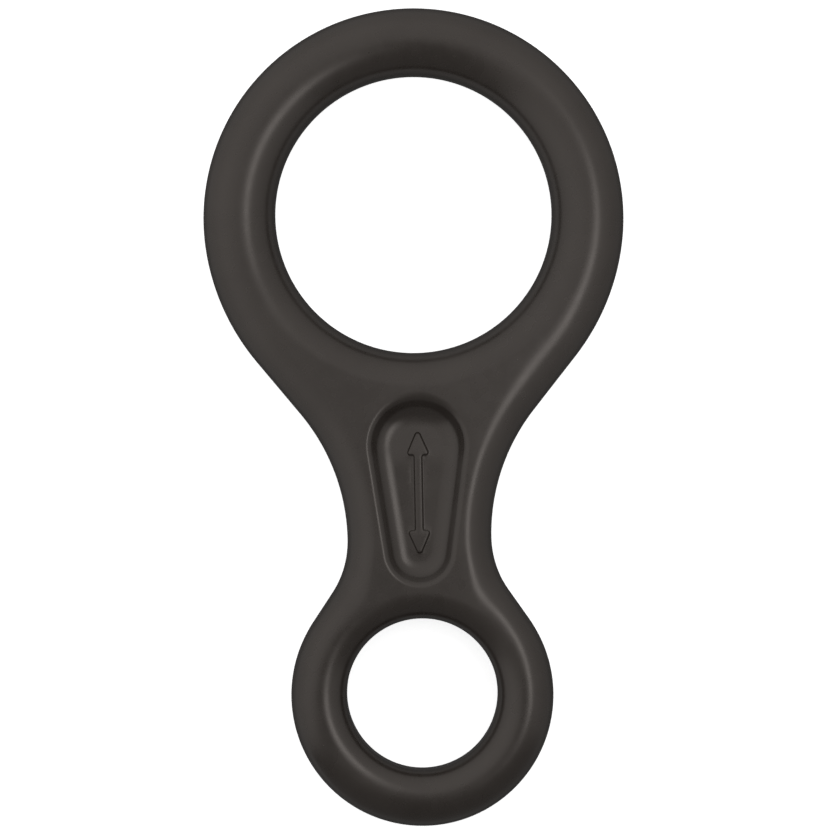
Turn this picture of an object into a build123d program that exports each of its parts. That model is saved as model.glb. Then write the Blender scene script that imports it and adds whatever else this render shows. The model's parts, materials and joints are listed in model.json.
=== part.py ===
from build123d import *
from math import acos, asin, copysign, cos, degrees, radians, sin, tan
import os

# Figure-8 rope descender, in millimetres: one closed-die forging in aluminium alloy, hard anodised.
# It lies flat. +Z is its thickness, +Y points to the rope eye, and the origin is under the middle
# of its box. The forging is symmetric about its parting plane, at half its thickness, where the
# trimmed flash leaves a narrow upright band on the outline and in both eyes.

LENGTH = 130.0
THICKNESS = 12.0
PARTING_Z = THICKNESS / 2

# The rope eye, and the ring round it. The ring is a little thicker on the web's side, and it runs
# down into the web on a slightly larger shoulder arc, which starts at an angle below +X.
ROPE_EYE_R = 22.0
ROPE_EYE_Y = 32.2
ROPE_RING_R = 33.4
ROPE_RING_Y = LENGTH / 2 - ROPE_RING_R
SHOULDER_R = 36.3
SHOULDER_START = 9.0

# The carabiner eye, and the ring round it, a little thicker at its far end
CARABINER_EYE_R = 12.0
CARABINER_EYE_Y = -44.0
CARABINER_RING_R = 20.85
CARABINER_RING_Y = -LENGTH / 2 + CARABINER_RING_R

# The waist of the web, between two hollow arcs on each side
WAIST_HALF_WIDTH = 11.45
WAIST_Y = -19.3
UPPER_NECK_R = 32.0
LOWER_NECK_R = 15.0

# Rounding of each face into the upright bands
OUTLINE_EDGE_R = 4.7
ROPE_EYE_EDGE_R = 5.4
CARABINER_EYE_EDGE_R = 3.8

# The pocket in each face of the web: two circles and the lines that touch both, with drafted walls
POCKET_WIDE_R = 7.7
POCKET_WIDE_Y = -4.6
POCKET_NARROW_R = 5.35
POCKET_NARROW_Y = -21.15
POCKET_DEPTH = 2.0
POCKET_DRAFT = 45.0
POCKET_RIM_R = 1.4
POCKET_FLOOR_R = 4.0

# A plain two-headed load arrow, raised on the floor of the front pocket
ARROW_TOP_Y = -2.4
ARROW_BOTTOM_Y = -21.6
ARROW_SHAFT_WIDTH = 0.8
ARROW_HEAD_WIDTH = 3.0
ARROW_HEAD_LENGTH = 3.4
ARROW_HEIGHT = 0.3


def crossing_tangent(ring_centre, ring_r, neck_centre, neck_r):
    """The ends of the straight side that touches a ring's arc and a hollow neck arc."""
    across = neck_centre - ring_centre
    heading = across.get_signed_angle(Vector(1, 0), Vector(0, 0, -1))
    swing = degrees(acos((ring_r + neck_r) / across.length))
    normal = Vector(1, 0).rotate(Axis.Z, heading - copysign(swing, heading))
    return ring_centre + normal * ring_r, neck_centre - normal * neck_r


shoulder_normal = Vector(1, 0).rotate(Axis.Z, -SHOULDER_START)
rope_ring_end = Vector(0, ROPE_RING_Y) + shoulder_normal * ROPE_RING_R
shoulder_centre = rope_ring_end - shoulder_normal * SHOULDER_R
upper_neck_centre = Vector(WAIST_HALF_WIDTH + UPPER_NECK_R, WAIST_Y)
lower_neck_centre = Vector(WAIST_HALF_WIDTH + LOWER_NECK_R, WAIST_Y)
shoulder_end, upper_neck_start = crossing_tangent(
    shoulder_centre, SHOULDER_R, upper_neck_centre, UPPER_NECK_R
)
carabiner_ring_end, lower_neck_start = crossing_tangent(
    Vector(0, CARABINER_RING_Y), CARABINER_RING_R, lower_neck_centre, LOWER_NECK_R
)
pocket_taper = asin((POCKET_WIDE_R - POCKET_NARROW_R) / (POCKET_WIDE_Y - POCKET_NARROW_Y))
pocket_side_normal = Vector(cos(pocket_taper), -sin(pocket_taper))


with BuildPart() as descender_body:
    # Plate above the parting plane, with both eyes
    with BuildSketch(Plane.XY.offset(PARTING_Z)):
        with BuildLine():
            rope_ring = TangentArc((0, LENGTH / 2), rope_ring_end, tangent=(1, 0))
            TangentArc(rope_ring_end, shoulder_end, tangent=rope_ring % 1)
            upper_side = Line(shoulder_end, upper_neck_start)
            TangentArc(upper_neck_start, (WAIST_HALF_WIDTH, WAIST_Y), tangent=upper_side % 1)
            TangentArc((WAIST_HALF_WIDTH, WAIST_Y), lower_neck_start, tangent=(0, -1))
            lower_side = Line(lower_neck_start, carabiner_ring_end)
            TangentArc(carabiner_ring_end, (0, -LENGTH / 2), tangent=lower_side % 1)
            mirror(about=Plane.YZ)
        make_face()
        with Locations((0, ROPE_EYE_Y)):
            Circle(ROPE_EYE_R, mode=Mode.SUBTRACT)
        with Locations((0, CARABINER_EYE_Y)):
            Circle(CARABINER_EYE_R, mode=Mode.SUBTRACT)
    extrude(amount=THICKNESS / 2)

    # Pocket, and its rounded rim and floor
    floor_z = THICKNESS - POCKET_DEPTH
    for height, inset in ((THICKNESS, 0.0), (floor_z, POCKET_DEPTH * tan(radians(POCKET_DRAFT)))):
        wide_r = POCKET_WIDE_R - inset
        narrow_r = POCKET_NARROW_R - inset
        wide_end = Vector(0, POCKET_WIDE_Y) + pocket_side_normal * wide_r
        narrow_start = Vector(0, POCKET_NARROW_Y) + pocket_side_normal * narrow_r
        with BuildSketch(Plane.XY.offset(height)):
            with BuildLine():
                TangentArc((0, POCKET_WIDE_Y + wide_r), wide_end, tangent=(1, 0))
                pocket_side = Line(wide_end, narrow_start)
                TangentArc(narrow_start, (0, POCKET_NARROW_Y - narrow_r), tangent=pocket_side % 1)
                mirror(about=Plane.YZ)
            make_face()
    loft(mode=Mode.SUBTRACT)
    face = descender_body.faces().sort_by(Axis.Z)[-1]
    fillet(face.inner_wires().sort_by(Axis.Y)[1].edges(), POCKET_RIM_R)
    fillet(descender_body.edges().filter_by_position(Axis.Z, floor_z, floor_z), POCKET_FLOOR_R)

    # Rounded edges of the outline and of both eyes
    face = descender_body.faces().sort_by(Axis.Z)[-1]
    fillet(face.outer_wire().edges(), OUTLINE_EDGE_R)
    face = descender_body.faces().sort_by(Axis.Z)[-1]
    fillet(face.inner_wires().sort_by(Axis.Y)[-1].edges(), ROPE_EYE_EDGE_R)
    face = descender_body.faces().sort_by(Axis.Z)[-1]
    fillet(face.inner_wires().sort_by(Axis.Y)[0].edges(), CARABINER_EYE_EDGE_R)

    # The same below the parting plane
    mirror(about=Plane.XY.offset(PARTING_Z))

    # Load arrow on the front floor
    middle_y = (ARROW_TOP_Y + ARROW_BOTTOM_Y) / 2
    half_length = (ARROW_TOP_Y - ARROW_BOTTOM_Y) / 2
    head_y = half_length - ARROW_HEAD_LENGTH
    with BuildSketch(Plane.XY.offset(floor_z)):
        with Locations((0, middle_y)):
            Rectangle(ARROW_SHAFT_WIDTH, 2 * head_y)
        with BuildLine(Plane((0, middle_y, 0))):
            Polyline(
                (0, half_length),
                (ARROW_HEAD_WIDTH / 2, head_y),
                (-ARROW_HEAD_WIDTH / 2, head_y),
                close=True,
            )
        make_face()
        mirror(about=Plane.XZ.offset(-middle_y))
    extrude(amount=ARROW_HEIGHT)

descender_body.part.label = "descender_body"

os.makedirs("parts", exist_ok=True)
export_step(descender_body.part, "parts/descender_body.step")
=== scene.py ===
import json
import math

import bmesh
import bpy
import numpy as np
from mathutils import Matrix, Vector, geometry


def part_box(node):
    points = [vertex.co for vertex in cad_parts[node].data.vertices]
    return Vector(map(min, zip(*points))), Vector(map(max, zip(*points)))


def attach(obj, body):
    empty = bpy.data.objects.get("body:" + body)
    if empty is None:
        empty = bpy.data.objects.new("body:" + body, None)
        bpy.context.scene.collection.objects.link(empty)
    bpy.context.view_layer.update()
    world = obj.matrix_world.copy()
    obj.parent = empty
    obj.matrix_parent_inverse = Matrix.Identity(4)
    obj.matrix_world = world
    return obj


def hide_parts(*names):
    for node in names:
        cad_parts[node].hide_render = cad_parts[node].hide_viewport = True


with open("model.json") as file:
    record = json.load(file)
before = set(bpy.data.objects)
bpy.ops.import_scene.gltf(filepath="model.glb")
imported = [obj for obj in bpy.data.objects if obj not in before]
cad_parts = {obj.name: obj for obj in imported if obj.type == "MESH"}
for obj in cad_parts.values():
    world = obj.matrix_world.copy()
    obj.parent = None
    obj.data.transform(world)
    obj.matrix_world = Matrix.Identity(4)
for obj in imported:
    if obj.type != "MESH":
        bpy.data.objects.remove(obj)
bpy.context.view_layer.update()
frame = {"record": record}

# ---------------------------------------------------------------- sizes, in metres
# The box and the eyes come from the frame. The outline and the pocket repeat the CAD part's driving
# dimensions; the roundings are this model's own, fuller than the CAD's plain fillets.

MM = 0.001
NODE = "descender_body"
low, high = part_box(NODE)
mounts = {mount["name"]: mount for mount in frame["record"]["mounts"]}

TOP_Y = high.y
BOTTOM_Y = low.y
FACE_Z = high.z
PARTING_Z = (low.z + high.z) / 2

ROPE_EYE = Vector(mounts["rope_eye"]["pos_m"][:2])
ROPE_EYE_R = mounts["rope_eye"]["dims"]["r_mm"] * MM
ROPE_EYE_BAND = mounts["rope_eye"]["dims"]["length_mm"] * MM / 2
CARABINER_EYE = Vector(mounts["carabiner_eye"]["pos_m"][:2])
CARABINER_EYE_R = mounts["carabiner_eye"]["dims"]["r_mm"] * MM
CARABINER_EYE_BAND = mounts["carabiner_eye"]["dims"]["length_mm"] * MM / 2

ROPE_RING_R = 33.4 * MM
ROPE_RING = Vector((0.0, TOP_Y - ROPE_RING_R))
SHOULDER_R = 36.3 * MM
SHOULDER_START = math.radians(-9.0)
CARABINER_RING_R = 20.85 * MM
CARABINER_RING = Vector((0.0, BOTTOM_Y + CARABINER_RING_R))

WAIST_HALF_WIDTH = 11.45 * MM
WAIST_Y = -19.3 * MM
UPPER_NECK_R = 32.0 * MM
LOWER_NECK_R = 15.0 * MM

# Rounding of the faces into the upright bands. Round the eyes it has a set width, a little less
# where the rope eye meets the web.
OUTLINE_BAND = 1.3 * MM
ROPE_EYE_ROUNDING = 6.25 * MM
ROPE_EYE_WEB_ROUNDING = 5.6 * MM
WEB_ROUNDING_TO = 1.5 * MM
FULL_ROUNDING_FROM = 9.0 * MM
CARABINER_EYE_ROUNDING = 4.35 * MM

# On the outline the rounding takes what the bar leaves, so that each ring is full and round. It
# is narrow at the waist, and it grows with the square of the way up to the shoulders and down to
# the foot.
CREST_LAND = 0.1 * MM
WAIST_ROUNDING = 4.5 * MM
SHOULDER_START_Y = -13.2 * MM
SHOULDER_GROWTH = 6.0
FOOT_START_Y = -21.0 * MM
FOOT_GROWTH = 40.0
ROUNDING_BLEND = 1.2 * MM

# A rounding's section is a superellipse. Along the outline its power changes with Y: a plain
# ellipse beside the pocket, and fuller on the shoulders above and below it.
RING_POWER = 2.12
OUTLINE_POWERS = (
    (-40.0 * MM, RING_POWER), (-30.0 * MM, 2.3), (-22.0 * MM, 2.0),
    (-8.0 * MM, 2.0), (4.0 * MM, 2.3), (18.0 * MM, RING_POWER),
)

# The pocket: two circles and the lines that touch both, with a rounded rim, a drafted wall, and two
# bends from the wall to the floor
POCKET_WIDE_R = 7.7 * MM
POCKET_WIDE = Vector((0.0, -4.6 * MM))
POCKET_NARROW_R = 5.35 * MM
POCKET_NARROW = Vector((0.0, -21.15 * MM))
POCKET_DEPTH = 2.0 * MM
POCKET_RIM_R = 1.4 * MM
POCKET_WALL_ANGLE = math.radians(45.0)
POCKET_WALL_RUN = 0.6 * MM
POCKET_WALL_R = 2.7 * MM
POCKET_EASE_ANGLE = math.radians(14.0)
POCKET_FLOOR_R = 6.2 * MM

# Towards the rope eye the pocket's rim widens by the saddle, its wall by the slope, and all of it
# falls deeper, as parts of their usual size
POCKET_SADDLE = 0.9
POCKET_SLOPE = 0.24
POCKET_DEEPENING = 0.32
DEEPENING_START_Y = -8.0 * MM
DEEPENING_END_Y = 0.5 * MM

# The load arrow on the front pocket's floor
ARROW_TOP_Y = -2.4 * MM
ARROW_BOTTOM_Y = -21.6 * MM
ARROW_SHAFT_WIDTH = 0.8 * MM
ARROW_HEAD_WIDTH = 3.0 * MM
ARROW_HEAD_LENGTH = 3.4 * MM
ARROW_HEIGHT = 0.3 * MM
ARROW_DRAFT = 0.42 * MM
ARROW_CONVEX_R = 0.2 * MM
ARROW_HOLLOW_R = 0.55 * MM

# Mesh spacing: lengths along edges and between a flat's grid points, and steps round each bend
OUTLINE_STEP = 0.7 * MM
LAND_STEP = 1.3 * MM
FLOOR_STEP = 0.9 * MM
ROUNDING_STEPS = 26
BEND_STEPS = 10
CORNER_STEPS = 6
GRID_ROW_PITCH = 0.866
GRID_CLEARANCE = 0.6

# ---------------------------------------------------------------- finish
# Noise is in features per metre, and colours are linear.

CLOUD_SCALE = 70.0
MOTTLE_SCALE = 420.0
TRIM_MARK_SCALE = 2600.0
TRIM_MARK_STRETCH = (1.0, 1.0, 0.06)
TRIM_EDGE = (OUTLINE_BAND * 0.75, OUTLINE_BAND * 1.15)
NOISE_MIDDLE = (0.3, 0.7)
MOTTLE_UPPER = (0.3, 0.8)

DARK_GREY = (0.0165, 0.0130, 0.0108)
WARM_GREY = (0.0215, 0.0174, 0.0148)
MOTTLE_GREY = (0.0235, 0.0195, 0.0168)
MOTTLE_SHARE = 0.4
WARM_TINT = (1.0, 0.925, 0.875, 1.0)

CLOUD_ROUGHNESS = (0.262, 0.292)
MOTTLE_ROUGHNESS = (-0.01, 0.012)
TRIM_ROUGHNESS = (0.02, 0.10)

CLOUD_BUMP = 0.05 * MM
MOTTLE_BUMP = 0.005 * MM
TRIM_BUMP = 0.02 * MM

# ---------------------------------------------------------------- studio, in metres

# Brightness of the light tent from straight below to straight above, by the height of a direction,
# and how much brighter it is towards one side
TENT = (
    (-1.0, 0.08), (-0.7, 0.15), (-0.35, 0.45), (0.0, 0.66),
    (0.35, 0.83), (0.7, 1.01), (0.9, 1.04), (1.0, 1.02),
)
TENT_TOP = 2.0
SIDE = (-0.18, 0.085, 0.0)

SOFT_LIGHT_PLACE = (0.096, -0.012, 0.288)
SOFT_LIGHT_SIZE = (0.062, 0.15)
SOFT_LIGHT_RADIANCE = 3.15

# The open, darker front of the tent, and the camera on its arm above the part
FRONT_LEFT = (-0.135, -0.118)
FRONT_RIGHT = (0.105, -0.09)
FRONT_BOTTOM = -0.02
FRONT_TOP = 0.8
FRONT_GLOW = 0.28
ARM_CORNERS = (
    (-0.016, 0.042), (0.036, 0.042), (0.044, -0.02),
    (0.062, -0.1), (-0.04, -0.11), (-0.018, -0.02),
)
ARM_Z = 0.55
ARM_GLOW = 0.15

# White paper: level out to the bend, then up into a wall
PAPER_MIDDLE_R = 1.0
PAPER_LEVEL_R = 4.0
PAPER_BEND_R = 1.0
PAPER_BEND_FROM = 0.2
PAPER_TOP = 4.0
PAPER_SIDES = 48
PAPER_WHITE = 0.8
PAPER_GLOW = 0.75

# The picture
PICTURE_WIDTH = 131.9 * MM
PICTURE_ROLL = math.radians(-1.077)
PICTURE_MIDDLE = (-0.50 * MM, 0.49 * MM)


# ---------------------------------------------------------------- plane curves

def arc(centre, radius, start, end, hollow=False):
    """Points and outward normals of an arc, in radians. A hollow arc's normals point to its centre."""
    steps = max(2, math.ceil(abs(end - start) * radius / OUTLINE_STEP))
    angles = np.linspace(start, end, steps + 1)
    rays = np.column_stack((np.cos(angles), np.sin(angles)))
    return np.array(centre) + rays * radius, -rays if hollow else rays


def straight(start, end):
    """Points and outward normals of a line, with the body on its right-hand side."""
    along = Vector(end) - Vector(start)
    steps = max(2, math.ceil(along.length / OUTLINE_STEP))
    points = np.linspace(start, end, steps + 1)
    normal = np.array((-along.y, along.x)) / along.length
    return points, np.tile(normal, (steps + 1, 1))


def chain(*parts):
    """One run of points and normals from arcs and lines that meet end to end."""
    points = [parts[0][0][:1]] + [part[0][1:] for part in parts]
    normals = [parts[0][1][:1]] + [part[1][1:] for part in parts]
    return np.vstack(points), np.vstack(normals)


def with_mirror_half(points, normals):
    """A closed loop from its right half, which runs from the top of the axis to its bottom."""
    flip = np.array((-1.0, 1.0))
    return (
        np.vstack((points, points[-2:0:-1] * flip)),
        np.vstack((normals, normals[-2:0:-1] * flip)),
    )


def neck_angle(ring, ring_r, neck, neck_r):
    """Direction of the normal where the line between a ring and a neck arc touches both."""
    across = neck - ring
    heading = math.atan2(across.y, across.x)
    swing = math.acos((ring_r + neck_r) / across.length)
    return heading - math.copysign(swing, heading)


def outline():
    """The part's outer edge, as a closed loop of points and outward normals."""
    upper_neck = Vector((WAIST_HALF_WIDTH + UPPER_NECK_R, WAIST_Y))
    lower_neck = Vector((WAIST_HALF_WIDTH + LOWER_NECK_R, WAIST_Y))
    start_normal = Vector((math.cos(SHOULDER_START), math.sin(SHOULDER_START)))
    shoulder_centre = ROPE_RING + start_normal * (ROPE_RING_R - SHOULDER_R)
    upper = neck_angle(shoulder_centre, SHOULDER_R, upper_neck, UPPER_NECK_R)
    lower = neck_angle(CARABINER_RING, CARABINER_RING_R, lower_neck, LOWER_NECK_R)
    ring = arc(ROPE_RING, ROPE_RING_R, math.pi / 2, SHOULDER_START)
    shoulder = arc(shoulder_centre, SHOULDER_R, SHOULDER_START, upper)
    upper_arc = arc(upper_neck, UPPER_NECK_R, upper + math.pi, math.pi, hollow=True)
    lower_arc = arc(lower_neck, LOWER_NECK_R, math.pi, lower + math.pi, hollow=True)
    foot = arc(CARABINER_RING, CARABINER_RING_R, lower, -math.pi / 2)
    upper_side = straight(shoulder[0][-1], upper_arc[0][0])
    lower_side = straight(lower_arc[0][-1], foot[0][0])
    right_half = chain(ring, shoulder, upper_side, upper_arc, lower_arc, lower_side, foot)
    return with_mirror_half(*right_half)


def pocket_outline():
    """The pocket's sharp edge in the face, with normals that point away from the pocket."""
    spread = (POCKET_WIDE - POCKET_NARROW).length
    lean = -math.asin((POCKET_WIDE_R - POCKET_NARROW_R) / spread)
    wide = arc(POCKET_WIDE, POCKET_WIDE_R, math.pi / 2, lean)
    narrow = arc(POCKET_NARROW, POCKET_NARROW_R, lean, -math.pi / 2)
    return with_mirror_half(*chain(wide, straight(wide[0][-1], narrow[0][0]), narrow))


def circle(centre, radius):
    """A full circle with normals that point to its centre, out of the metal."""
    points, normals = arc(centre, radius, 0.0, 2 * math.pi, hollow=True)
    return points[:-1], normals[:-1]


def rounded_polygon(corners, convex_r, hollow_r):
    """A closed loop of points and outward normals from clockwise corners, each with a small arc."""
    points, normals = [], []
    for index, corner in enumerate(corners):
        arrive = (corner - corners[index - 1]).normalized()
        leave = (corners[(index + 1) % len(corners)] - corner).normalized()
        turn = arrive.angle_signed(leave)
        radius = convex_r if turn > 0 else hollow_r
        first = math.atan2(arrive.x, -arrive.y)
        side = math.copysign(1.0, turn)
        centre = corner + (leave - arrive).normalized() * radius / math.cos(turn / 2)
        for step in np.linspace(0.0, 1.0, CORNER_STEPS + 1):
            angle = first - turn * step
            normal = Vector((math.cos(angle), math.sin(angle)))
            points.append(centre + normal * radius * side)
            normals.append(normal)
    return np.array(points), np.array(normals)


# ---------------------------------------------------------------- section profiles
# Each profile is a list of (how far in from the edge, height).

def rounding_profile(power):
    """A quarter round from (0, 0), upright, to (1, 1), level, for one power or one at each point."""
    turns = np.linspace(0.0, math.pi / 2, ROUNDING_STEPS + 1)
    exponent = 2 / np.asarray(power)
    return [
        (1.0 - max(math.cos(turn), 0.0) ** exponent, math.sin(turn) ** exponent)
        for turn in turns
    ]


def pocket_profile():
    """From the face, over the rim and down the wall to the floor, in metres from the sharp edge."""
    # Straight run before the bend, slope before and after it, radius
    bends = (
        (0.0, 0.0, POCKET_WALL_ANGLE, -POCKET_RIM_R),
        (POCKET_WALL_RUN, POCKET_WALL_ANGLE, POCKET_EASE_ANGLE, POCKET_WALL_R),
        (0.0, POCKET_EASE_ANGLE, 0.0, POCKET_FLOOR_R),
    )
    profile = [(-POCKET_RIM_R * math.tan(POCKET_WALL_ANGLE / 2), 0.0)]
    for straight_run, start, end, radius in bends:
        run, height = profile[-1]
        if straight_run:
            run, height = run + straight_run, height - straight_run * math.tan(start)
            profile.append((run, height))
        for angle in np.linspace(start, end, BEND_STEPS + 1)[1:]:
            across = radius * (math.sin(start) - math.sin(angle))
            down = radius * (math.cos(angle) - math.cos(start))
            profile.append((run + across, height - down))
    scale = POCKET_DEPTH / -profile[-1][1]
    return [(run, height * scale) for run, height in profile]


def pocket_fall(points):
    """How many times its usual depth the pocket falls at each point: more at its upper end."""
    way_up = (points[:, 1] - DEEPENING_START_Y) / (DEEPENING_END_Y - DEEPENING_START_Y)
    share = np.clip(way_up, 0.0, 1.0)
    return 1.0 + POCKET_DEEPENING * share ** 2 * (3.0 - 2.0 * share)


def outline_rounding(points):
    """How far the outline's rounding reaches in at each point."""
    to_rope_eye = np.hypot(*(points - np.array(ROPE_EYE)).T) - ROPE_EYE_R
    to_carabiner_eye = np.hypot(*(points - np.array(CARABINER_EYE)).T) - CARABINER_EYE_R
    above = np.clip(points[:, 1] - SHOULDER_START_Y, 0.0, None)
    below = np.clip(FOOT_START_Y - points[:, 1], 0.0, None)
    limits = (
        to_rope_eye - ROPE_EYE_ROUNDING - CREST_LAND,
        to_carabiner_eye - CARABINER_EYE_ROUNDING - CREST_LAND,
        WAIST_ROUNDING + SHOULDER_GROWTH * above ** 2 + FOOT_GROWTH * below ** 2,
    )
    reach = limits[0]
    for limit in limits[1:]:
        overlap = np.clip(1.0 - np.abs(reach - limit) / ROUNDING_BLEND, 0.0, None)
        reach = np.minimum(reach, limit) - overlap ** 2 * ROUNDING_BLEND / 4
    return reach


# ---------------------------------------------------------------- mesh of the body

class Surface:
    """Collects the closed mesh of the body: loops of vertices, the quads between them, and flats."""

    def __init__(self):
        self.mesh = bmesh.new()

    def loop(self, points, height):
        """Vertices at the points, at one height or at one for each of them."""
        heights = np.broadcast_to(height, len(points))
        return [self.mesh.verts.new((p[0], p[1], z)) for p, z in zip(points, heights)]

    def skin(self, first, second):
        """Quads between two loops with the same number of vertices."""
        for index in range(len(first)):
            follow = (index + 1) % len(first)
            self.mesh.faces.new((first[index], first[follow], second[follow], second[index]))

    def flat(self, loops, height, spacing):
        """Fills between an outer loop and those inside it, over a grid of points.

        height gives the height of each of the grid's points.
        """
        verts = [vert for loop in loops for vert in loop]
        rings = [np.array([vert.co[:2] for vert in loop]) for loop in loops]
        edges, start = [], 0
        for loop in loops:
            count = len(loop)
            edges += [(start + i, start + (i + 1) % count) for i in range(count)]
            start += count
        grid = grid_between(rings, spacing)
        verts += self.loop(grid, height(grid))
        points = np.vstack(rings + [grid])
        inside_edges, tolerance = 1, 1e-9
        faces, sources = geometry.delaunay_2d_cdt(
            [Vector(point) for point in points], edges, [], inside_edges, tolerance
        )[2:4]
        triangles = np.array([[sources[corner][0] for corner in face] for face in faces])
        kept = inside(points[triangles].mean(1), rings)
        for triangle in triangles[kept]:
            self.mesh.faces.new([verts[corner] for corner in triangle])


def grid_between(rings, spacing):
    """A staggered grid of points between the rings, clear of all of them."""
    edge = np.vstack(rings)
    x_low, y_low = edge.min(0)
    x_high, y_high = edge.max(0)
    rows = []
    for row, y in enumerate(np.arange(y_low, y_high, spacing * GRID_ROW_PITCH)):
        across = np.arange(x_low + spacing * (row % 2) / 2, x_high, spacing)
        rows.append(np.column_stack((across, np.full(len(across), y))))
    grid = np.vstack(rows)
    grid = grid[inside(grid, rings)]
    gaps = np.hypot(*(grid[:, None] - edge[None]).transpose(2, 0, 1)).min(1)
    return grid[gaps > spacing * GRID_CLEARANCE]


def inside(points, rings):
    """True for each point whose ray to the right crosses the rings an odd number of times."""
    crossings = np.zeros(len(points), int)
    x, y = points[:, :1], points[:, 1:]
    for ring in rings:
        after = np.roll(ring, -1, axis=0)
        spans = (ring[:, 1] > y) != (after[:, 1] > y)
        rise = np.where(ring[:, 1] == after[:, 1], 1.0, after[:, 1] - ring[:, 1])
        cut = ring[:, 0] + (y - ring[:, 1]) * (after[:, 0] - ring[:, 0]) / rise
        crossings += (spans & (cut > x)).sum(1)
    return crossings % 2 == 1


def rounded_edge(surface, curve, band, reach, power, side):
    """One face's rounding along an edge. Returns the loops at the upright band and at the face."""
    points, normals = curve
    rise = FACE_Z - PARTING_Z - band
    loops = []
    for inward, upward in rounding_profile(power):
        placed = points - normals * (np.asarray(reach) * inward).reshape(-1, 1)
        height = PARTING_Z + side * (band + rise * upward)
        loops.append(surface.loop(placed, height))
    for first, second in zip(loops, loops[1:]):
        surface.skin(first, second)
    return loops[0], loops[-1]


def pocket(surface, side):
    """One face's pocket walls. Returns the loops at the face and at the floor."""
    points, normals = pocket_outline()
    upper_end = np.clip(normals[:, 1:], 0.0, 1.0) ** 3
    loops = []
    for inward, height in pocket_profile():
        widened = 1.0 + upper_end * (POCKET_SADDLE if inward < 0 else POCKET_SLOPE)
        placed = points - normals * inward * widened
        fall = height * pocket_fall(placed)
        loops.append(surface.loop(placed, PARTING_Z + side * (FACE_Z - PARTING_Z + fall)))
    for first, second in zip(loops, loops[1:]):
        surface.skin(first, second)
    return loops[0], loops[-1]


def arrow_corners():
    """The two-headed arrow's corners, clockwise from its top."""
    head = ARROW_HEAD_WIDTH / 2
    shaft = ARROW_SHAFT_WIDTH / 2
    top_y = ARROW_TOP_Y - ARROW_HEAD_LENGTH
    bottom_y = ARROW_BOTTOM_Y + ARROW_HEAD_LENGTH
    right = [(head, top_y), (shaft, top_y), (shaft, bottom_y), (head, bottom_y)]
    left = [(-x, y) for x, y in reversed(right)]
    corners = [(0, ARROW_TOP_Y), *right, (0, ARROW_BOTTOM_Y), *left]
    return [Vector(corner) for corner in corners]


def arrow(surface, floor):
    """The raised arrow on a floor whose height comes from its points. Returns its loop there."""
    points, normals = rounded_polygon(arrow_corners(), ARROW_CONVEX_R, ARROW_HOLLOW_R)
    loops = []
    for turn in np.linspace(0.0, math.pi, BEND_STEPS + 1):
        out = ARROW_DRAFT * (1 - turn / math.pi)
        lift = ARROW_HEIGHT * (1 - math.cos(turn)) / 2
        placed = points + normals * out
        loops.append(surface.loop(placed, floor(placed) + lift))
    for first, second in zip(loops, loops[1:]):
        surface.skin(first, second)
    surface.flat([loops[-1]], lambda grid: floor(grid) + ARROW_HEIGHT, FLOOR_STEP)
    return loops[0]


def edges_to_round():
    """Each edge's curve, its band's height on one side, its rounding's reach and its power."""
    outer = outline()
    heights, powers = zip(*OUTLINE_POWERS)
    outer_power = np.interp(outer[0][:, 1], heights, powers)
    rope_eye = circle(ROPE_EYE, ROPE_EYE_R)
    from_web = rope_eye[0][:, 1] - rope_eye[0][:, 1].min()
    rope_eye_reach = np.interp(
        from_web,
        (WEB_ROUNDING_TO, FULL_ROUNDING_FROM),
        (ROPE_EYE_WEB_ROUNDING, ROPE_EYE_ROUNDING),
    )
    carabiner_eye = circle(CARABINER_EYE, CARABINER_EYE_R)
    return (
        (outer, OUTLINE_BAND, outline_rounding(outer[0]), outer_power),
        (rope_eye, ROPE_EYE_BAND, rope_eye_reach, RING_POWER),
        (carabiner_eye, CARABINER_EYE_BAND, CARABINER_EYE_ROUNDING, RING_POWER),
    )


def body_surface():
    """The whole body as one closed mesh: its front and back, joined by the upright bands."""
    surface = Surface()
    edges = edges_to_round()
    bands = []
    for side in (1, -1):
        face_z = PARTING_Z + side * (FACE_Z - PARTING_Z)

        def face_height(grid):
            return np.full(len(grid), face_z)

        def floor_height(grid):
            return face_z - side * POCKET_DEPTH * pocket_fall(grid)

        roundings = [rounded_edge(surface, *edge, side) for edge in edges]
        rim, floor = pocket(surface, side)
        surface.flat([at_face for _, at_face in roundings] + [rim], face_height, LAND_STEP)
        marks = [arrow(surface, floor_height)] if side == 1 else []
        surface.flat([floor] + marks, floor_height, FLOOR_STEP)
        bands.append([at_band for at_band, _ in roundings])
    for front, back in zip(*bands):
        surface.skin(front, back)
    bmesh.ops.recalc_face_normals(surface.mesh, faces=surface.mesh.faces)
    return surface.mesh


def descender_body():
    """The body as one smooth object with its finish."""
    mesh = bpy.data.meshes.new("descender_body_skin")
    surface = body_surface()
    surface.to_mesh(mesh)
    surface.free()
    mesh.shade_smooth()
    skin = bpy.data.objects.new("descender_body_skin", mesh)
    bpy.context.scene.collection.objects.link(skin)
    skin.data.materials.append(anodised_aluminium())
    return skin


# ---------------------------------------------------------------- materials

def node_material(name):
    """A new node material, its node tree and its shader."""
    material = bpy.data.materials.new(name)
    material.use_nodes = True
    tree = material.node_tree
    return material, tree, tree.nodes["Principled BSDF"]


def separate(tree, vector):
    """The parts of a vector."""
    node = tree.nodes.new("ShaderNodeSeparateXYZ")
    tree.links.new(vector, node.inputs["Vector"])
    return node.outputs


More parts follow.
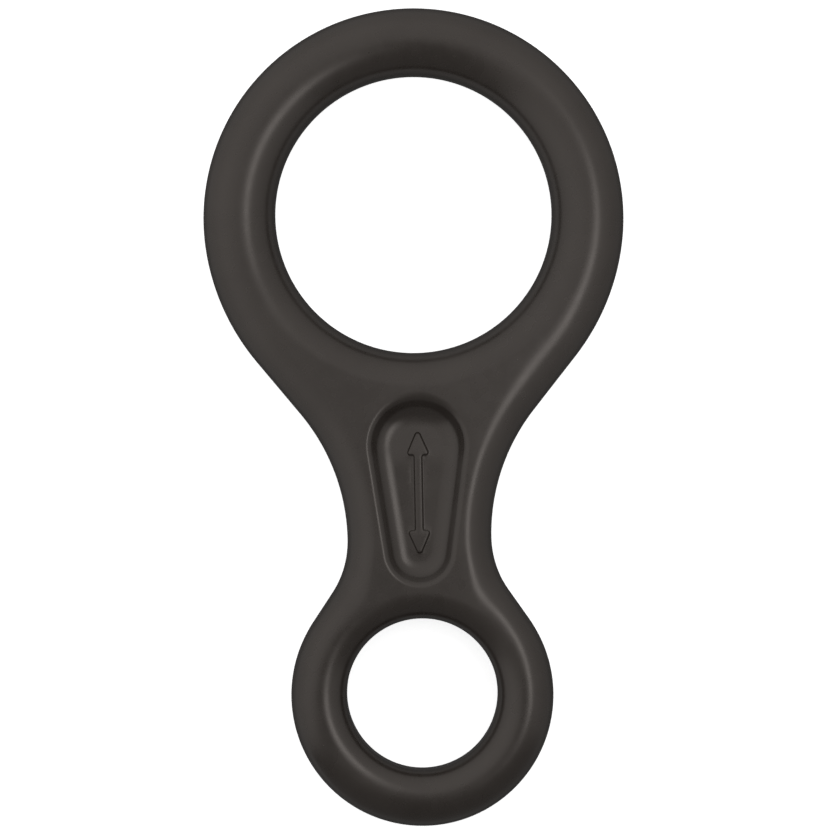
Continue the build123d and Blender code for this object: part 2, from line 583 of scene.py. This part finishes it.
def noise(tree, coordinates, scale, detail, stretch=(1.0, 1.0, 1.0)):
    """A noise from 0 to 1 in the piece's own coordinates."""
    mapping = tree.nodes.new("ShaderNodeMapping")
    mapping.inputs["Scale"].default_value = stretch
    tree.links.new(coordinates, mapping.inputs["Vector"])
    texture = tree.nodes.new("ShaderNodeTexNoise")
    texture.inputs["Scale"].default_value = scale
    texture.inputs["Detail"].default_value = detail
    tree.links.new(mapping.outputs["Vector"], texture.inputs["Vector"])
    return texture.outputs["Fac"]


def ranged(tree, value, to_range, from_range):
    """A value mapped smoothly from one range to another."""
    node = tree.nodes.new("ShaderNodeMapRange")
    node.interpolation_type = "SMOOTHSTEP"
    node.inputs["From Min"].default_value, node.inputs["From Max"].default_value = from_range
    node.inputs["To Min"].default_value, node.inputs["To Max"].default_value = to_range
    tree.links.new(value, node.inputs["Value"])
    return node.outputs["Result"]


def combined(tree, operation, first, second=0.0):
    """The result of a math node on one or two values, each a socket or a number."""
    node = tree.nodes.new("ShaderNodeMath")
    node.operation = operation
    for socket, value in zip(node.inputs, (first, second)):
        if isinstance(value, (int, float)):
            socket.default_value = value
        else:
            tree.links.new(value, socket)
    return node.outputs["Value"]


def mixed(tree, factor, first, second):
    """A colour between two, each a socket or a colour."""
    node = tree.nodes.new("ShaderNodeMix")
    node.data_type = "RGBA"
    tree.links.new(factor, node.inputs["Factor"])
    for name, value in (("A", first), ("B", second)):
        socket = next(s for s in node.inputs if s.name == name and s.type == "RGBA")
        if isinstance(value, tuple):
            socket.default_value = (*value, 1.0)
        else:
            tree.links.new(value, socket)
    return next(s for s in node.outputs if s.type == "RGBA")


def bump(tree, height, distance, strength, normal=None):
    """A normal tilted by a height from 0 to 1, which stands for a distance."""
    node = tree.nodes.new("ShaderNodeBump")
    node.inputs["Distance"].default_value = distance
    node.inputs["Strength"].default_value = strength
    tree.links.new(height, node.inputs["Height"])
    if normal is not None:
        tree.links.new(normal, node.inputs["Normal"])
    return node.outputs["Normal"]


def anodised_aluminium():
    """Dark warm grey hard anodising, satin, over a tumbled forging with a trimmed parting line."""
    material, tree, shader = node_material("anodised_aluminium")
    place = tree.nodes.new("ShaderNodeTexCoord").outputs["Object"]
    cloud = noise(tree, place, CLOUD_SCALE, detail=3.0)
    mottle = noise(tree, place, MOTTLE_SCALE, detail=3.0)

    # The trimmed band at the parting plane, with fine marks across it
    off_plane = combined(tree, "SUBTRACT", separate(tree, place)["Z"], PARTING_Z)
    band = ranged(tree, combined(tree, "ABSOLUTE", off_plane), (1.0, 0.0), TRIM_EDGE)
    marks = noise(tree, place, TRIM_MARK_SCALE, detail=2.0, stretch=TRIM_MARK_STRETCH)

    cloud_share = ranged(tree, cloud, (0.0, 1.0), NOISE_MIDDLE)
    mottle_share = ranged(tree, mottle, (0.0, MOTTLE_SHARE), MOTTLE_UPPER)
    base = mixed(tree, cloud_share, DARK_GREY, WARM_GREY)
    base = mixed(tree, mottle_share, base, MOTTLE_GREY)
    tree.links.new(base, shader.inputs["Base Color"])

    cloud_rough = ranged(tree, cloud, CLOUD_ROUGHNESS, NOISE_MIDDLE)
    mottle_rough = ranged(tree, mottle, MOTTLE_ROUGHNESS, NOISE_MIDDLE)
    trim_rough = combined(tree, "MULTIPLY", band, ranged(tree, marks, TRIM_ROUGHNESS, NOISE_MIDDLE))
    rough = combined(tree, "ADD", cloud_rough, mottle_rough)
    rough = combined(tree, "ADD", rough, trim_rough)
    tree.links.new(rough, shader.inputs["Roughness"])
    shader.inputs["IOR"].default_value = 1.5
    shader.inputs["Specular Tint"].default_value = WARM_TINT

    trim_marks = combined(tree, "MULTIPLY", band, marks)
    normal = bump(tree, cloud, CLOUD_BUMP, strength=0.5)
    normal = bump(tree, mottle, MOTTLE_BUMP, strength=0.5, normal=normal)
    normal = bump(tree, trim_marks, TRIM_BUMP, strength=0.6, normal=normal)
    tree.links.new(normal, shader.inputs["Normal"])
    return material


def matt_material(name, grey, glow):
    """A plain matt grey that also glows evenly in white."""
    material, _, shader = node_material(name)
    shader.inputs["Base Color"].default_value = (grey, grey, grey, 1.0)
    shader.inputs["Roughness"].default_value = 1.0
    shader.inputs["Specular IOR Level"].default_value = 0.0
    shader.inputs["Emission Color"].default_value = (1.0, 1.0, 1.0, 1.0)
    shader.inputs["Emission Strength"].default_value = glow
    return material


# ---------------------------------------------------------------- stage

def sweep():
    """White paper under the part, which curves up into a wall all round, far outside the picture."""
    profile = [(PAPER_MIDDLE_R, 0.0), (PAPER_LEVEL_R, 0.0)]
    for turn in np.linspace(PAPER_BEND_FROM, math.pi / 2, CORNER_STEPS + 1):
        across, up = math.sin(turn), 1.0 - math.cos(turn)
        profile.append((PAPER_LEVEL_R + PAPER_BEND_R * across, PAPER_BEND_R * up))
    profile.append((PAPER_LEVEL_R + PAPER_BEND_R, PAPER_TOP))
    verts, faces = [(0.0, 0.0, 0.0)], []
    for reach, height in profile:
        for turn in range(PAPER_SIDES):
            angle = 2 * math.pi * turn / PAPER_SIDES
            verts.append((reach * math.cos(angle), reach * math.sin(angle), height))
    for turn in range(PAPER_SIDES):
        after = (turn + 1) % PAPER_SIDES
        faces.append((0, 1 + turn, 1 + after))
        for ring in range(len(profile) - 1):
            near = 1 + ring * PAPER_SIDES
            far = near + PAPER_SIDES
            faces.append((near + turn, far + turn, far + after, near + after))
    mesh = bpy.data.meshes.new("paper_sweep")
    mesh.from_pydata(verts, [], faces)
    mesh.shade_smooth()
    mesh.materials.append(matt_material("white_paper", PAPER_WHITE, PAPER_GLOW))
    stage = bpy.data.objects.new("paper_sweep", mesh)
    stage.location.z = low.z
    # Only the camera sees the paper: it neither blocks the tent's light nor adds any
    stage.visible_diffuse = False
    stage.visible_glossy = False
    stage.visible_shadow = False
    bpy.context.scene.collection.objects.link(stage)


def area_light(name, place, size, radiance):
    """A soft rectangular light that faces the part's long axis. Its second side lies along Y."""
    data = bpy.data.lights.new(name, "AREA")
    data.shape = "RECTANGLE"
    data.size, data.size_y = size
    data.energy = radiance * math.pi * size[0] * size[1]
    light = bpy.data.objects.new(name, data)
    light.location = place
    light.rotation_euler = (0.0, math.atan2(place[0], place[2] - PARTING_Z), 0.0)
    light.visible_camera = False
    bpy.context.scene.collection.objects.link(light)


def flag(name, corners, glow):
    """A dark card of the set, which shows only in reflections and in the shade that it gives."""
    mesh = bpy.data.meshes.new(name)
    mesh.from_pydata(corners, [], [tuple(range(len(corners)))])
    mesh.materials.append(matt_material(name, 0.0, glow))
    card = bpy.data.objects.new(name, mesh)
    card.visible_camera = False
    bpy.context.scene.collection.objects.link(card)


def tent_brightness(tree, direction):
    """The light tent's brightness by the height of a direction, as part of its top value."""
    level = tree.nodes.new("ShaderNodeMapRange")
    level.inputs["From Min"].default_value = -1.0
    tree.links.new(separate(tree, direction)["Z"], level.inputs["Value"])
    tent = tree.nodes.new("ShaderNodeFloatCurve")
    curve = tent.mapping.curves[0]
    while len(curve.points) < len(TENT):
        curve.points.new(0.5, 0.5)
    for point, (height, brightness) in zip(curve.points, TENT):
        point.location = ((height + 1) / 2, brightness / TENT_TOP)
    tent.mapping.update()
    tree.links.new(level.outputs["Result"], tent.inputs["Value"])
    return tent.outputs["Value"]


def tent_world():
    """A white light tent all round, as the world."""
    world = bpy.data.worlds.new("studio")
    world.use_nodes = True
    tree = world.node_tree
    direction = tree.nodes.new("ShaderNodeTexCoord").outputs["Generated"]
    side = tree.nodes.new("ShaderNodeVectorMath")
    side.operation = "DOT_PRODUCT"
    side.inputs[1].default_value = SIDE
    tree.links.new(direction, side.inputs[0])
    towards_side = combined(tree, "ADD", side.outputs["Value"], 1.0)
    strength = combined(tree, "MULTIPLY", tent_brightness(tree, direction), towards_side)
    background = tree.nodes["Background"]
    background.inputs["Color"].default_value = (1.0, 1.0, 1.0, 1.0)
    tree.links.new(combined(tree, "MULTIPLY", strength, TENT_TOP), background.inputs["Strength"])
    return world


def studio():
    """A white light tent with a dark open front and a dark camera arm above, and one soft light."""
    bpy.context.scene.world = tent_world()
    bpy.context.scene.view_settings.view_transform = "Standard"
    area_light("soft_light", SOFT_LIGHT_PLACE, SOFT_LIGHT_SIZE, SOFT_LIGHT_RADIANCE)
    front = [
        (*FRONT_LEFT, FRONT_BOTTOM),
        (*FRONT_RIGHT, FRONT_BOTTOM),
        (*FRONT_RIGHT, FRONT_TOP),
        (*FRONT_LEFT, FRONT_TOP),
    ]
    flag("open_front", front, FRONT_GLOW)
    flag("camera_arm", [(*corner, ARM_Z) for corner in ARM_CORNERS], ARM_GLOW)


def camera():
    """Straight down on the part, which lies a degree off square in the picture."""
    data = bpy.data.cameras.new("camera")
    data.lens = 200.0
    data.sensor_width = 36.0
    distance = PICTURE_WIDTH * data.lens / data.sensor_width
    viewer = bpy.data.objects.new("camera", data)
    viewer.location = (*PICTURE_MIDDLE, PARTING_Z + distance)
    viewer.rotation_euler = (0, 0, PICTURE_ROLL)
    bpy.context.scene.collection.objects.link(viewer)
    bpy.context.scene.camera = viewer


camera()
sweep()
studio()

body = descender_body()
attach(body, "root")
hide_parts(NODE)
